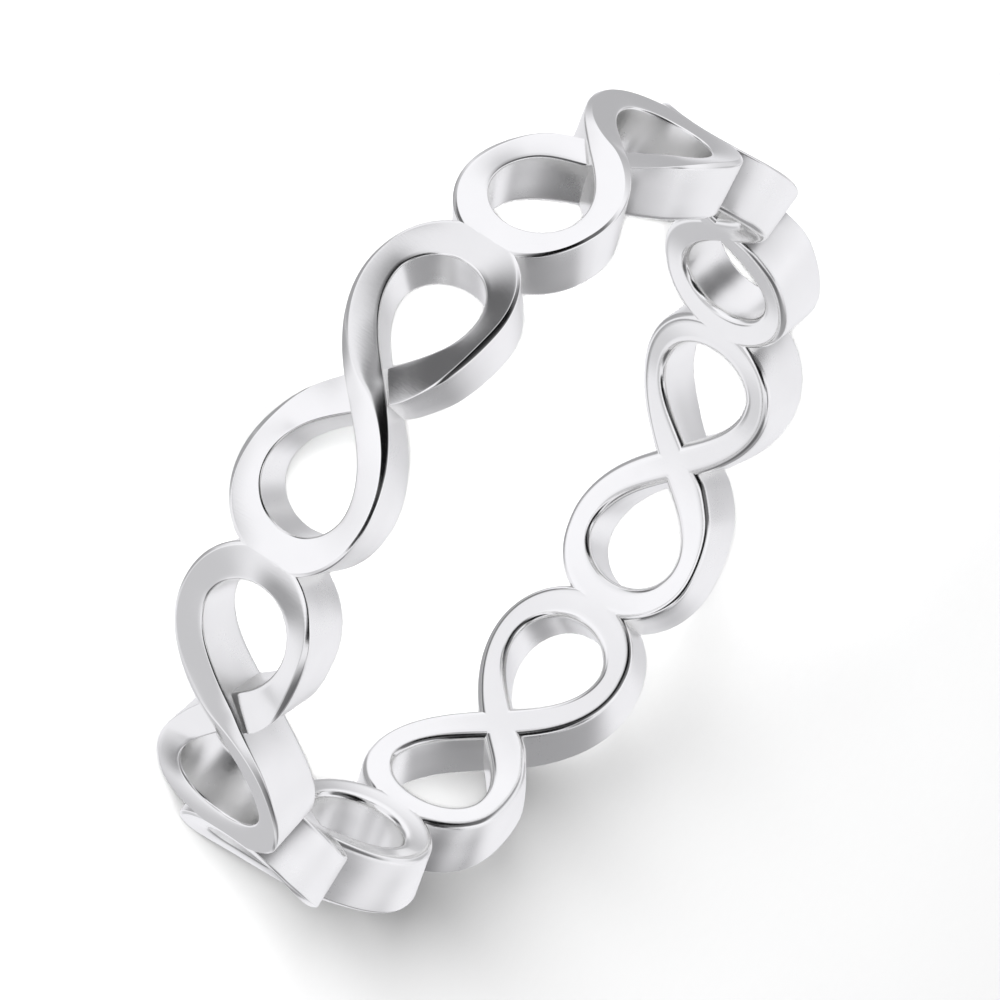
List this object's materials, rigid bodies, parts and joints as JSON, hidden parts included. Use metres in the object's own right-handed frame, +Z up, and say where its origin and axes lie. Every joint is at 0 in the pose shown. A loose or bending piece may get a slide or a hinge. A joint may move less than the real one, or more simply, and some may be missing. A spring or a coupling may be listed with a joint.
{
  "type": "infinity ring",
  "caption": "Finger ring of raised infinity signs that follow one another round the band, each strand crossing over itself, in polished silver.",
  "frame": {"origin": "on the ring's axis, in the plane that the ring rests on when it lies on its side", "axes": "+Z up along the ring's axis, and the middle of one sign's crossing lies on +X"},
  "size_m": [0.0205, 0.0204, 0.0037],
  "materials": {
    "silver": "polished sterling silver"
  },
  "bodies": {
    "root": {"ring_band": "silver"}
  },
  "joints": []
}
